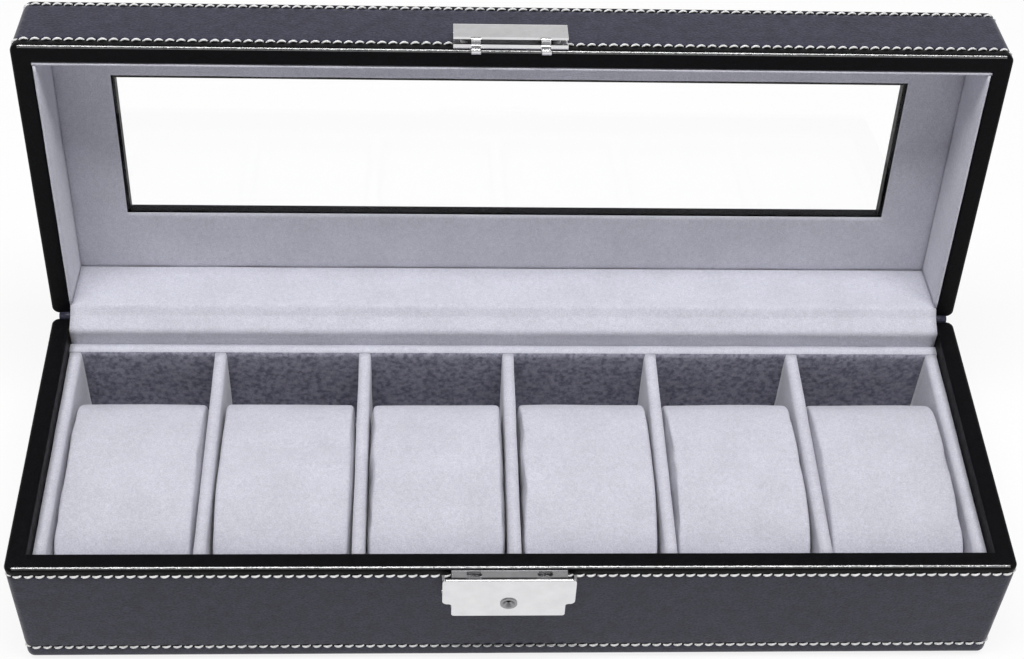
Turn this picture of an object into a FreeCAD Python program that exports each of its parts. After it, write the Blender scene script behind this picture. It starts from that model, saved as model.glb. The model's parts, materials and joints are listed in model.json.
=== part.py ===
import FreeCAD, Part

import math
import os

# Watch box with six pillows under a hinged glass lid, modelled standing open.
# Frame: +X to the right, +Y to the back, +Z up, origin at the centre of the underside. Millimetres.

# Case
case_length = 305.0
case_depth = 103.0
base_height = 48.0
lid_height = 28.0
lid_gap = 0.3
lid_open_angle = 97.5
wall_board = 4.4
lid_back_board = 2.5
leather = 0.8
corner_radius = 2.5
rim_radius = 1.2
lip_radius = 0.7
bottom_edge_radius = 2.3
top_edge_radius = 2.2
lip_depth = 14.0
back_turnover = 5.0
floor_board = 3.0
bottom_sheet = 0.8
bottom_sheet_inset = 3.0

# Velvet lining of the base
floor_pad = 1.2
base_liner = 4.2
liner_recess = 6.0
liner_edge_radius = 0.9
compartment_count = 6
divider_thickness = 4.2

# Lid lining and window
lid_liner = 1.2
lid_hollow_depth = 21.0
window_card = 1.6
glass_thickness = 2.0
glass_lap = 4.5
glass_clearance = 0.3
window_side_margin = 25.5
window_end_margin = 25.5
card_side_margin = 24.8
card_front_margin = 23.2
card_back_margin = 26.2

# Soft hinge
hinge_bend = 0.6
velvet_sheet = 0.8
velvet_bend = 1.8
velvet_lift = 0.1
velvet_side_gap = 0.4

# Pillows
pillow_side_gap = 1.0
finger_gap = 14.2
pillow_rise = 1.4
pillow_crown_radius = 100.0
pillow_end_radius = 14.0
pillow_foot_radius = 6.0
pillow_draw_in = 2.0
pillow_side_power = 24
pillow_spread_power = 6.0
pillow_stations = 4
pillow_seat_gap = 0.2
pillow_front_gap = 0.4

# Latch
latch_sheet = 0.8
latch_bend = 0.6
latch_offset = -2.3
lock_width = 34.8
lock_drop = 18.4
shelf_reach = 3.1
shelf_bend = 0.5
slot_width = 4.6
slot_length = 2.0
slot_inset = 0.75
slot_end_radius = 0.8
hook_spacing = 21.2
hook_width = 2.8
hook_throat = 4.8
hook_tip = 0.9
press_plate_gap = 2.6
press_top_gap = 0.3
ear_radius = 1.6
face_radius = 0.9
press_edge_radius = 0.45
ear_width = 2.8
ear_height = 12.3
cheek_reach = 2.6
catch_reach = 1.5
catch_drop = 2.3
pivot_drop = 8.5
pivot_setback = 1.9
pivot_radius = 0.6
pivot_clearance = 0.06
pivot_overhang = 0.1
lug_height = 2.4
spring_width = 8.0
spring_thickness = 0.4
spring_clearance = 0.15
rivet_drop = 11.8
rivet_radius = 2.1
rivet_bore_radius = 0.8
rivet_funnel_radius = 1.9
rivet_funnel_depth = 1.2
rivet_head_radius = 2.6
rivet_head_height = 0.3
rivet_tail_radius = 2.5
rivet_tail_height = 0.5
nail_radius = 0.7
nail_head_radius = 1.3
nail_head_height = 0.5
nail_depth = 3.4
nail_spacing = 28.0
nail_edge = 3.0
strike_height = 9.6
strike_reach = 3.6
strike_hem = 0.5
rail_reach = 1.6

# Faces and levels that follow from the sizes above
half_length = case_length / 2
half_depth = case_depth / 2
wall = wall_board + 2 * leather
board_x = half_length - leather
board_y = half_depth - leather
lid_room_back = board_y - lid_back_board
room_x = half_length - wall
room_y = half_depth - wall
front = -half_depth
back = half_depth
wrap_bottom = bottom_sheet
board_bottom = wrap_bottom + leather
board_top = base_height - leather
floor_top = bottom_sheet + floor_board + floor_pad
liner_top = base_height - liner_recess
tray_x = room_x - base_liner
tray_y = room_y - base_liner
compartment = (2 * tray_x - (compartment_count - 1) * divider_thickness) / compartment_count
pillow_width = compartment - 2 * pillow_side_gap
pillow_length = 2 * tray_y - pillow_front_gap - finger_gap
pillow_height = liner_top + pillow_rise - floor_top - pillow_seat_gap
hinge_y = back + hinge_bend
hinge_z = base_height + lid_gap / 2
lid_rim = base_height + lid_gap
lid_top = lid_rim + lid_height
panel_top = lid_top - leather
panel_bottom = lid_rim + lid_hollow_depth + window_card + glass_thickness
window_x = half_length - window_end_margin
window_y = half_depth - window_side_margin
back_rim_x = room_x - velvet_side_gap
shelf_middle = base_height - latch_sheet / 2
pivot_y = front - pivot_setback
pivot_z = base_height - pivot_drop
plate_back = front - latch_sheet - press_plate_gap
plate_front = plate_back - latch_sheet
plate_top = base_height - press_top_gap
plate_bottom = plate_top - lock_drop
strike_middle = front - strike_reach

HINGE = FreeCAD.Vector(0, hinge_y, hinge_z)
X_AXIS = FreeCAD.Vector(1, 0, 0)
Y_AXIS = FreeCAD.Vector(0, 1, 0)
OVER = 1.0


def block(x0, x1, y0, y1, z0, z1):
    return Part.makeBox(x1 - x0, y1 - y0, z1 - z0, FreeCAD.Vector(x0, y0, z0))


def middle_block(half_x, half_y, z0, z1):
    return block(-half_x, half_x, -half_y, half_y, z0, z1)


def rod(radius, start, direction, length):
    return Part.makeCylinder(radius, length, start, direction)


def upright_edges(shape):
    return [e for e in shape.Edges if e.BoundBox.ZLength > max(e.BoundBox.XLength, e.BoundBox.YLength)]


def level_edges(shape, z, axis_length=None):
    edges = [e for e in shape.Edges if abs(e.BoundBox.ZMin - z) < 0.01 and abs(e.BoundBox.ZMax - z) < 0.01]
    if axis_length is None:
        return edges
    return [e for e in edges if abs(e.Length - axis_length) < 0.01]


def rounded_block(half_x, half_y, z0, z1, radius):
    solid = middle_block(half_x, half_y, z0, z1)
    return solid.makeFillet(radius, upright_edges(solid))


def strip_face(points, bend, thickness):
    """Section of a bent sheet in the YZ plane. Its middle line runs through points, with round bends."""
    path = [FreeCAD.Vector(0, y, z) for y, z in points]
    runs = [(b - a).normalize() for a, b in zip(path, path[1:])]
    left = [FreeCAD.Vector(0, -run.z, run.y) for run in runs]
    sides = []
    for offset in (thickness / 2, -thickness / 2):
        edges = []
        here = path[0] + left[0] * offset
        for i in range(1, len(path) - 1):
            turn = math.atan2(runs[i - 1].y * runs[i].z - runs[i - 1].z * runs[i].y, runs[i - 1].dot(runs[i]))
            tangent = bend * math.tan(abs(turn) / 2)
            hand = math.copysign(1.0, turn)
            arc_start = path[i] - runs[i - 1] * tangent
            centre = arc_start + left[i - 1] * hand * bend
            radius = bend - hand * offset
            begin = arc_start + left[i - 1] * offset
            finish = path[i] + runs[i] * tangent + left[i] * offset
            crest = centre + (path[i] - centre).normalize() * radius
            edges.append(Part.makeLine(here, begin))
            edges.append(Part.Arc(begin, crest, finish).toShape())
            here = finish
        edges.append(Part.makeLine(here, path[-1] + left[-1] * offset))
        sides.append(edges)
    first, second = sides
    caps = [
        Part.makeLine(first[0].firstVertex().Point, second[0].firstVertex().Point),
        Part.makeLine(first[-1].lastVertex().Point, second[-1].lastVertex().Point),
    ]
    return Part.Face(Part.Wire(Part.__sortEdges__(first + second + caps)))


def bent_strip(points, bend, thickness, x0, x1):
    face = strip_face(points, bend, thickness)
    face.translate(FreeCAD.Vector(x0, 0, 0))
    return face.extrude(FreeCAD.Vector(x1 - x0, 0, 0))


def opened(shape):
    """Swings a piece of the lid from the closed place that it is drawn in to the open rest place."""
    swung = shape.copy()
    swung.rotate(HINGE, X_AXIS, -lid_open_angle)
    return swung


def opened_point(y, z):
    swing = FreeCAD.Rotation(X_AXIS, -lid_open_angle)
    place = HINGE + swing.multVec(FreeCAD.Vector(0, y, z) - HINGE)
    return place.y, place.z


def four_boards(z0, z1, back_thickness, rim_z):
    """Front and back boards over the full length, with rounded corners, and side boards between them.

    The back board's inner edge at rim_z is rounded, because the velvet flap folds over it.
    """
    frame = rounded_block(board_x, board_y, z0, z1, corner_radius - leather)
    inner_x = board_x - wall_board
    front_y = wall_board - board_y
    back_y = board_y - back_thickness
    back_board = frame.common(block(-half_length, half_length, back_y, back, z0, z1))
    fold = [e for e in level_edges(back_board, rim_z) if abs(e.BoundBox.YMax - back_y) < 0.01]
    return {
        "front_board": frame.common(block(-half_length, half_length, front, front_y, z0, z1)),
        "back_board": back_board.makeFillet(velvet_bend, fold),
        "left_board": block(-board_x, -inner_x, front_y, back_y, z0, z1),
        "right_board": block(inner_x, board_x, front_y, back_y, z0, z1),
    }


def board_core(z0, z1):
    """The space that four boards take up."""
    core = rounded_block(board_x, board_y, z0, z1, corner_radius - leather)
    return core.cut(middle_block(board_x - wall_board, board_y - wall_board, z0 - OVER, z1 + OVER))


def hinge_clearing(z0, z1):
    """Room in a leather wrap for the back leather, from z0 to z1."""
    reach = half_length - corner_radius
    return block(-reach, reach, board_y, back + OVER, z0, z1)


def base_leather_wrap():
    outer = rounded_block(half_length, half_depth, wrap_bottom, base_height, corner_radius)
    outer = outer.makeFillet(bottom_edge_radius, level_edges(outer, wrap_bottom))
    outer = outer.makeFillet(rim_radius, level_edges(outer, base_height))
    frame = outer.cut(middle_block(room_x, room_y, 0, base_height + OVER))
    inner_lip = [e for e in level_edges(frame, base_height) if abs(e.CenterOfMass.y) < room_y + 0.01
                 and abs(e.CenterOfMass.x) < room_x + 0.01]
    frame = frame.makeFillet(lip_radius, inner_lip)
    wrap = frame.cut(board_core(board_bottom, board_top))
    wrap = wrap.cut(middle_block(room_x + leather, room_y + leather, 0, base_height - lip_depth))
    wrap = wrap.cut(hinge_clearing(back_turnover, base_height + OVER))
    flap_bottom = base_height - lip_depth - OVER
    return wrap.cut(block(-room_x, room_x, room_y - OVER, back, flap_bottom, base_height + OVER))


def lid_leather_wrap():
    outer = rounded_block(half_length, half_depth, lid_rim, lid_top, corner_radius)
    outer = outer.makeFillet(rim_radius, level_edges(outer, lid_rim))
    outer = outer.makeFillet(top_edge_radius, level_edges(outer, lid_top))
    frame = outer.cut(middle_block(room_x, room_y, lid_rim - OVER, panel_bottom))
    inner_lip = [e for e in level_edges(frame, lid_rim) if abs(e.CenterOfMass.y) < room_y + 0.01
                 and abs(e.CenterOfMass.x) < room_x + 0.01]
    frame = frame.makeFillet(lip_radius, inner_lip)
    wrap = frame.cut(board_core(lid_rim + leather, panel_bottom)).cut(lid_top_panel())
    wrap = wrap.cut(middle_block(room_x + leather, room_y + leather, lid_rim + lip_depth, panel_bottom))
    wrap = wrap.cut(middle_block(window_x, window_y, panel_bottom - OVER, lid_top + OVER))
    wrap = wrap.cut(hinge_clearing(lid_rim - OVER, lid_top - back_turnover))
    return wrap.cut(block(-room_x, room_x, room_y - OVER, back, lid_rim - OVER, lid_rim + lip_depth + OVER))


def lid_top_panel():
    panel = rounded_block(board_x, board_y, panel_bottom, panel_top, corner_radius - leather)
    hole_x = window_x + leather
    hole_y = window_y + leather
    return panel.cut(middle_block(hole_x, hole_y, panel_bottom - OVER, panel_top + OVER))


def window_glass():
    top = panel_bottom
    return middle_block(window_x + glass_lap, window_y + glass_lap, top - glass_thickness, top)


def glass_packing():
    """Card frame that fills the space round the glass."""
    top = panel_bottom
    hole_x = window_x + glass_lap + glass_clearance
    hole_y = window_y + glass_lap + glass_clearance
    frame = block(-room_x, room_x, -room_y, lid_room_back, top - glass_thickness, top)
    return frame.cut(middle_block(hole_x, hole_y, top - glass_thickness - OVER, top + OVER))


def window_liner():
    z0 = lid_rim + lid_hollow_depth
    card = block(-room_x, room_x, -room_y, lid_room_back, z0, z0 + window_card)
    reach = half_length - card_side_margin
    hole = block(-reach, reach, front + card_front_margin, back - card_back_margin,
                 z0 - OVER, z0 + window_card + OVER)
    return card.cut(hole)


def lid_liners():
    z0 = lid_rim
    z1 = lid_rim + lid_hollow_depth
    inner_x = room_x - lid_liner
    inner_y = -room_y + lid_liner
    flap_y = lid_room_back - velvet_sheet
    return {
        "lid_front_liner": block(-room_x, room_x, -room_y, inner_y, z0, z1),
        "lid_left_liner": block(-room_x, -inner_x, inner_y, flap_y, z0, z1),
        "lid_right_liner": block(inner_x, room_x, inner_y, flap_y, z0, z1),
    }


def padded_wall(x0, x1, y0, y1):
    """Velvet-covered card standing on the floor pad, with both long top edges rounded."""
    wall_piece = block(x0, x1, y0, y1, floor_top, liner_top)
    long_edges = level_edges(wall_piece, liner_top, max(x1 - x0, y1 - y0))
    return wall_piece.makeFillet(liner_edge_radius, long_edges)


def base_liners():
    return {
        "base_front_liner": padded_wall(-room_x, room_x, -room_y, -tray_y),
        "base_back_liner": padded_wall(-room_x, room_x, tray_y, room_y),
        "base_left_liner": padded_wall(-room_x, -tray_x, -tray_y, tray_y),
        "base_right_liner": padded_wall(tray_x, room_x, -tray_y, tray_y),
    }


def compartment_left(index):
    return -tray_x + index * (compartment + divider_thickness)


def divider(index):
    x0 = compartment_left(index) - divider_thickness
    return padded_wall(x0, x0 + divider_thickness, -tray_y, tray_y)


def hinge_leather():
    """Back leather that runs from the base round the hinge line to the lid."""
    middle = back - leather / 2
    tangent = (hinge_bend + leather / 2) * math.tan(math.radians(lid_open_angle) / 2)
    points = [
        (middle, back_turnover),
        (middle, hinge_z + tangent),
        opened_point(middle, lid_top - back_turnover),
    ]
    reach = half_length - corner_radius
    return bent_strip(points, hinge_bend + leather / 2, leather, -reach, reach)


def hinge_velvet():
    """Velvet flap from behind the back liner, over both back rims and down the lid's back wall."""
    inner = room_y + velvet_sheet / 2
    lid_inner = lid_room_back - velvet_sheet / 2
    base_edge = base_height - velvet_sheet / 2
    lid_edge = lid_rim + velvet_sheet / 2
    crease = hinge_bend + leather + velvet_lift + velvet_sheet / 2
    slope = math.radians(180 - lid_open_angle / 2)
    points = [
        (inner, base_height - lip_depth),
        (inner, base_edge),
        (hinge_y + crease * math.cos(slope), hinge_z + crease * math.sin(slope)),
        opened_point(lid_inner, lid_edge),
        opened_point(lid_inner, lid_rim + lid_hollow_depth),
    ]
    return bent_strip(points, velvet_bend, velvet_sheet, -back_rim_x, back_rim_x)


def pillow_section(x, draw):
    """Side view of a pillow, drawn in by draw all round, as a closed wire at x."""
    half = pillow_length / 2 - draw
    crown = pillow_crown_radius - draw
    end = pillow_end_radius - draw
    foot = pillow_foot_radius - draw
    crown_z = pillow_height - pillow_crown_radius
    end_y = half - end
    end_z = crown_z + math.sqrt((crown - end) ** 2 - end_y ** 2)
    lean = math.atan2(end_z - crown_z, end_y)

    def at(y, z):
        return FreeCAD.Vector(x, y, z)

    def on_circle(y, z, radius, angle):
        return at(y + radius * math.cos(angle), z + radius * math.sin(angle))

    foot_z = draw + foot
    right_foot = [on_circle(half - foot, foot_z, foot, math.radians(a)) for a in (-90, -45, 0)]
    left_foot = [on_circle(foot - half, foot_z, foot, math.radians(a)) for a in (180, 225, 270)]
    right_end = [on_circle(end_y, end_z, end, share * lean) for share in (0, 0.5, 1)]
    left_end = [on_circle(-end_y, end_z, end, math.pi - share * lean) for share in (1, 0.5, 0)]
    crest = [right_end[2], at(0, crown_z + crown), left_end[0]]
    edges = [
        Part.makeLine(left_foot[2], right_foot[0]),
        Part.Arc(*right_foot).toShape(),
        Part.makeLine(right_foot[2], right_end[0]),
        Part.Arc(*right_end).toShape(),
        Part.Arc(*crest).toShape(),
        Part.Arc(*left_end).toShape(),
        Part.makeLine(left_end[2], left_foot[0]),
        Part.Arc(*left_foot).toShape(),
    ]
    return Part.Wire(edges)


def spread(share):
    """Moves a share of the half width outwards, so that the loft's stations crowd at the sides."""
    return math.copysign(1 - (1 - abs(share)) ** pillow_spread_power, share)


def pillow(index):
    """Stuffed velvet pillow with a crown along its length and drawn-in sides."""
    half = pillow_width / 2
    shares = [spread(2 * i / (pillow_stations - 1) - 1) for i in range(pillow_stations)]
    stations = [(half * share, pillow_draw_in * abs(share) ** pillow_side_power) for share in shares]
    solid = Part.makeLoft([pillow_section(x, draw) for x, draw in stations], True, True)
    middle_x = compartment_left(index) + compartment / 2
    middle_y = -tray_y + pillow_front_gap + pillow_length / 2
    solid.translate(FreeCAD.Vector(middle_x, middle_y, floor_top + pillow_seat_gap))
    return solid


def off_middle(shape):
    """Moves a piece of the latch from the middle of the front to its place a little beside it."""
    return shape.translated(FreeCAD.Vector(latch_offset, 0, 0))


def nail_group(places, head_y):
    """Round-headed nails driven along +Y, with the underside of each head at head_y."""
    nails = []
    for x, z in places:
        crown = FreeCAD.Vector(x, head_y - nail_head_height, z)
        head = rod(nail_head_radius, crown, Y_AXIS, nail_head_height)
        shank = rod(nail_radius, FreeCAD.Vector(x, head_y, z), Y_AXIS, latch_sheet + leather + nail_depth)
        nails.append(head.fuse(shank).removeSplitter())
    return nails


def nail_holes(places, head_y):
    depth = latch_sheet + 2 * OVER
    return Part.makeCompound([rod(nail_radius, FreeCAD.Vector(x, head_y - OVER, z), Y_AXIS, depth)
                              for x, z in places])


def lock_nail_places():
    rows = (plate_bottom + nail_edge, plate_top - nail_edge)
    return [(side * nail_spacing / 2, z) for z in rows for side in (-1, 1)]


def strike_nail_places():
    z = lid_rim + strike_height / 2
    return [(side * nail_spacing / 2, z) for side in (-1, 1)]


def lock_back_plate():
    """Plate nailed to the base, bent out into a slotted shelf, with a lug for the pin at each side."""
    middle = front - latch_sheet / 2
    half = lock_width / 2
    points = [(middle, plate_bottom), (middle, shelf_middle), (front - shelf_reach, shelf_middle)]
    plate = bent_strip(points, shelf_bend, latch_sheet, -half, half)
    slot_back = front - slot_inset
    for side in (-1, 1):
        x = side * hook_spacing / 2
        slot = block(x - slot_width / 2, x + slot_width / 2, slot_back - slot_length, slot_back,
                     shelf_middle - OVER, shelf_middle + OVER)
        plate = plate.cut(slot.makeFillet(slot_end_radius, upright_edges(slot)))
        lug_x = side * (half - latch_sheet / 2) - latch_sheet / 2
        lug = block(lug_x, lug_x + latch_sheet, pivot_y, front - latch_sheet,
                    pivot_z - lug_height / 2, pivot_z + lug_height / 2)
        nose = rod(lug_height / 2, FreeCAD.Vector(lug_x, pivot_y, pivot_z), X_AXIS, latch_sheet)
        plate = plate.fuse(lug).fuse(nose)
    bore = rod(pivot_radius, FreeCAD.Vector(-case_length, pivot_y, pivot_z), X_AXIS, 2 * case_length)
    return plate.cut(bore).cut(nail_holes(lock_nail_places(), front - latch_sheet)).removeSplitter()


def lock_pivot_pin():
    half = lock_width / 2 + ear_width + pivot_overhang
    return rod(pivot_radius, FreeCAD.Vector(-half, pivot_y, pivot_z), X_AXIS, 2 * half)


def press_face():
    """Front of the press plate: a sheet with an ear at each side and a rounded front edge."""
    half = lock_width / 2
    ear_x = half + ear_width
    face = block(-half, half, plate_front, plate_back, plate_bottom, plate_top)
    ears = block(-ear_x, ear_x, plate_front, plate_back, plate_top - ear_height, plate_top)
    sheet = face.fuse(ears).removeSplitter()
    corners = [e for e in sheet.Edges if e.BoundBox.YLength > latch_sheet / 2]
    ear_corners = [e for e in corners if abs(e.CenterOfMass.x) > half + OVER]
    sheet = sheet.makeFillet(ear_radius, ear_corners)
    corners = [e for e in sheet.Edges if e.BoundBox.YLength > latch_sheet / 2]
    face_corners = [e for e in corners if abs(abs(e.CenterOfMass.x) - half) < 0.01]
    sheet = sheet.makeFillet(face_radius, face_corners)
    rim = [e for e in sheet.Edges if abs(e.BoundBox.YMax - plate_front) < 0.01]
    return sheet.makeFillet(press_edge_radius, rim)


def lock_press_plate():
    """Rocking plate: its face, cheeks on the pin, a catch along the top, and a hole for the spring's rivet."""
    half = lock_width / 2
    ear_x = half + ear_width
    plate = press_face()
    cheek_top = plate_top - ear_radius
    cheek_bottom = plate_top - ear_height + ear_radius
    for side in (-1, 1):
        outer = side * ear_x
        inner = side * (ear_x - latch_sheet)
        cheek = block(min(outer, inner), max(outer, inner), plate_back, plate_back + cheek_reach,
                      cheek_bottom, cheek_top)
        plate = plate.fuse(cheek)
    catch = block(-half + latch_sheet, half - latch_sheet, plate_back, plate_back + catch_reach,
                  plate_top - catch_drop - latch_sheet, plate_top - catch_drop)
    bore_start = FreeCAD.Vector(-case_length, pivot_y, pivot_z)
    bore = rod(pivot_radius + pivot_clearance, bore_start, X_AXIS, 2 * case_length)
    rivet_start = FreeCAD.Vector(0, plate_front - OVER, base_height - rivet_drop)
    rivet_hole = rod(rivet_radius, rivet_start, Y_AXIS, latch_sheet + 2 * OVER)
    return plate.fuse(catch).cut(bore).cut(rivet_hole).removeSplitter()


def lock_spring():
    """Leaf spring riveted behind the press plate, with its foot on the back plate."""
    seat = plate_back + spring_thickness / 2
    foot = front - latch_sheet - spring_clearance - spring_thickness / 2
    rivet_z = base_height - rivet_drop
    points = [
        (seat, rivet_z + rivet_tail_radius + latch_bend),
        (seat, rivet_z - rivet_tail_radius - latch_bend),
        (foot, plate_bottom + latch_bend + spring_thickness),
        (foot - latch_bend, plate_bottom),
    ]
    strip = bent_strip(points, latch_bend, spring_thickness, -spring_width / 2, spring_width / 2)
    return strip.cut(rod(rivet_radius, FreeCAD.Vector(0, plate_back - OVER, rivet_z), Y_AXIS, 2 * OVER))


def lock_spring_rivet():
    """Hollow rivet that holds the spring, with a funnel in its head."""
    z = base_height - rivet_drop
    head_y = plate_front - rivet_head_height
    tail_y = plate_back + spring_thickness
    mouth = FreeCAD.Vector(0, head_y, z)
    head = rod(rivet_head_radius, mouth, Y_AXIS, rivet_head_height)
    shank = rod(rivet_radius, mouth, Y_AXIS, tail_y - head_y)
    tail = rod(rivet_tail_radius, FreeCAD.Vector(0, tail_y, z), Y_AXIS, rivet_tail_height)
    funnel = Part.makeCone(rivet_funnel_radius, rivet_bore_radius, rivet_funnel_depth, mouth, Y_AXIS)
    bore = rod(rivet_bore_radius, mouth, Y_AXIS, tail_y - head_y + rivet_tail_height)
    return head.fuse(shank).fuse(tail).cut(funnel).cut(bore).removeSplitter()


def strike_plate():
    """Channel on the lid's front, open below, with two hooked prongs that drop through the shelf's slots."""
    half = lock_width / 2
    rear = front - latch_sheet / 2
    top = lid_rim + strike_height - latch_sheet / 2
    hem = lid_rim + strike_hem
    prong = front - slot_inset - slot_length / 2 + latch_sheet / 2
    tip = hem - hook_throat
    cover_edge = hem + 2 * latch_bend
    fold = [
        (rear - rail_reach, hem),
        (rear, hem),
        (rear, top),
        (strike_middle, top),
        (strike_middle, hem + latch_bend),
    ]
    plate = bent_strip(fold, latch_bend, latch_sheet, -half, half)
    plate = plate.cut(nail_holes(strike_nail_places(), front - latch_sheet))
    hook = [
        (strike_middle, cover_edge),
        (strike_middle, hem),
        (prong, hem),
        (prong, tip),
        (prong - hook_tip, tip),
    ]
    for side in (-1, 1):
        x = side * hook_spacing / 2
        plate = plate.fuse(bent_strip(hook, latch_bend, latch_sheet, x - hook_width / 2, x + hook_width / 2))
    return plate.removeSplitter()


def build():
    pieces = {}
    for name, solid in four_boards(board_bottom, board_top, wall_board, board_top).items():
        pieces["base_" + name] = solid
    inner_x = board_x - wall_board
    inner_y = board_y - wall_board
    pieces["base_floor_board"] = middle_block(inner_x, inner_y, bottom_sheet, bottom_sheet + floor_board)
    sheet_x = half_length - bottom_sheet_inset
    sheet_y = half_depth - bottom_sheet_inset
    pieces["base_bottom_sheet"] = rounded_block(sheet_x, sheet_y, 0, bottom_sheet, corner_radius)
    pieces["base_leather_wrap"] = base_leather_wrap()
    pieces["base_floor_pad"] = middle_block(room_x, room_y, floor_top - floor_pad, floor_top)
    pieces.update(base_liners())
    for index in range(1, compartment_count):
        pieces["divider_%d" % index] = divider(index)
    for index in range(compartment_count):
        pieces["watch_pillow_%d" % (index + 1)] = pillow(index)
    pieces["hinge_leather"] = hinge_leather()
    pieces["hinge_velvet"] = hinge_velvet()
    lock_nails = Part.makeCompound(nail_group(lock_nail_places(), front - latch_sheet))
    pieces["lock_back_plate"] = off_middle(lock_back_plate())
    pieces["lock_nails"] = off_middle(lock_nails)
    pieces["lock_pivot_pin"] = off_middle(lock_pivot_pin())
    pieces["lock_press_plate"] = off_middle(lock_press_plate())
    pieces["lock_spring"] = off_middle(lock_spring())
    pieces["lock_spring_rivet"] = off_middle(lock_spring_rivet())

    lid = {}
    lid_board_rim = lid_rim + leather
    for name, solid in four_boards(lid_board_rim, panel_bottom, lid_back_board, lid_board_rim).items():
        lid["lid_" + name] = solid
    lid["lid_top_panel"] = lid_top_panel()
    lid["lid_leather_wrap"] = lid_leather_wrap()
    lid["window_glass"] = window_glass()
    lid["glass_packing"] = glass_packing()
    lid["window_liner"] = window_liner()
    lid.update(lid_liners())
    strike_nails = Part.makeCompound(nail_group(strike_nail_places(), front - latch_sheet))
    lid["strike_plate"] = off_middle(strike_plate())
    lid["strike_nails"] = off_middle(strike_nails)
    for name, solid in lid.items():
        pieces[name] = opened(solid)
    return pieces


os.makedirs("parts", exist_ok=True)
for node, shape in build().items():
    shape.exportStep("parts/%s.step" % node)
    print(node, "solids", len(shape.Solids), "valid", shape.isValid(), "volume %.1f" % shape.Volume)
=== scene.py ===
import json
import math

import bmesh
import bpy
from mathutils import Matrix, Vector, noise


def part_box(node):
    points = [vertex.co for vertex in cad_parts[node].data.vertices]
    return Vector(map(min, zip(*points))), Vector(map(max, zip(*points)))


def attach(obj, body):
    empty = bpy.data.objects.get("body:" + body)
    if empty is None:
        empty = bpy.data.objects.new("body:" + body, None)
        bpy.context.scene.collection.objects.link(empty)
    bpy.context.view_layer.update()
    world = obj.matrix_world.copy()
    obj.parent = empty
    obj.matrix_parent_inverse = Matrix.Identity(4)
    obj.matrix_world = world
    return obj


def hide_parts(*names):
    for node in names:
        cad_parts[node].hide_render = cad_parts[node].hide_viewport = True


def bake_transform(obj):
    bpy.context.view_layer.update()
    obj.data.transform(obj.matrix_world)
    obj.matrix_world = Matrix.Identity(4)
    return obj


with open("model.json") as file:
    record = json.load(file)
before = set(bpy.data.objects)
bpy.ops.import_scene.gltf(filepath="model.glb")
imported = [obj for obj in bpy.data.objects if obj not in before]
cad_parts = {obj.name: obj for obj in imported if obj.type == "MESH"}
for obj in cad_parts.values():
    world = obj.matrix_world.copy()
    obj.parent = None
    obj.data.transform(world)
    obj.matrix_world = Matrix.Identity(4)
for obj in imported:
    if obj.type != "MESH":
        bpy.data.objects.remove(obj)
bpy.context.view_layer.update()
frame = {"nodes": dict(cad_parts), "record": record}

MM = 0.001
WHITE = (1.0, 1.0, 1.0)
SAME_PLACE = 1e-6
SHARP_ANGLE = math.radians(35)
ROUND_STEP = 30

# Range of a noise texture that its patches use
PATCHES = (0.3, 0.7)

# The photograph's camera, in the object's frame
CAMERA_PLACE = Vector((-27.2, -366.7, 490.0)) * MM
CAMERA_PITCH = math.radians(46.85)
CAMERA_YAW = math.radians(3.94)
CAMERA_ROLL = math.radians(3.09)
CAMERA_SENSOR = 36.0
CAMERA_LENS = 63.26
CAMERA_NEAR = 0.01

# Stitching: rise, sink and tip are shares of the thread's radius, cuts are shares of a groove's width
STITCH_PITCH = 3.35 * MM
STITCH_DASH = 2.7 * MM
THREAD_RADIUS = 0.40 * MM
STITCH_SLANT = 0.24 * MM
STITCH_BOW = 0.08 * MM
THREAD_STEPS = 6
THREAD_SIDES = 6
THREAD_RISE = 1.25
THREAD_SINK = 0.55
THREAD_TIP = 0.6
GROOVE_DEPTH = 0.25 * MM
GROOVE_WIDTH = 0.9 * MM
GROOVE_SHADE = 0.6 * GROOVE_WIDTH
GROOVE_CUTS = (-2, -1.2, -0.6, 0, 0.6, 1.2, 2)
BASE_ROW_BELOW_RIM = 3.4 * MM
BASE_ROW_ABOVE_FLOOR = 6.9 * MM
LID_ROW_ABOVE_RIM = 3.9 * MM
LID_ROW_BELOW_TOP = 3.0 * MM
WINDOW_ROW_MARGIN = 4.0 * MM
CORNER_RADIUS = 2.5 * MM

# Pillows: here and below, a wave is how many patches of unevenness a metre has
PILLOW_CROWN = 100.0 * MM
PILLOW_END = 14.0 * MM
PILLOW_FOOT = 6.0 * MM
PILLOW_EDGE = 1.3 * MM
PILLOW_STEP = 1.9 * MM
PILLOW_SWELL = 0.1 * MM
PILLOW_CAP = 0.7 * MM
PILLOW_PUFF = 0.5 * MM
PILLOW_UNEVEN = 0.3 * MM
PILLOW_WAVE = 45
PILLOW_COLUMNS = 18
PILLOW_RINGS = (0.9, 0.78, 0.64, 0.5, 0.36, 0.22, 0.1)

# Cloth that fills the pillows
CLOTH_QUALITY = 5
CLOTH_MASS = 0.05
CLOTH_STIFFNESS = 25
CLOTH_BENDING = 0.6
CLOTH_PRESSURE = 4
CLOTH_FRAMES = 14

# Stage
FLOOR_SIZE = 4.0
FLOOR_WHITE = 0.85
KEY_PLACE = (0.0, -0.14, 1.3)
KEY_TARGET = (0.0, 0.02, 0.0)
KEY_SIZE = (1.2, 0.35)
KEY_WATTS = 18.8
SKY_STRENGTH = 0.45
SKY_OVERHEAD = 0.06
ROOM_OVERHEAD = 0.3
SKY_TURN = 0.5
ROOM_TURN = 0.33
TURN_WIDTH = 0.14

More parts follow.
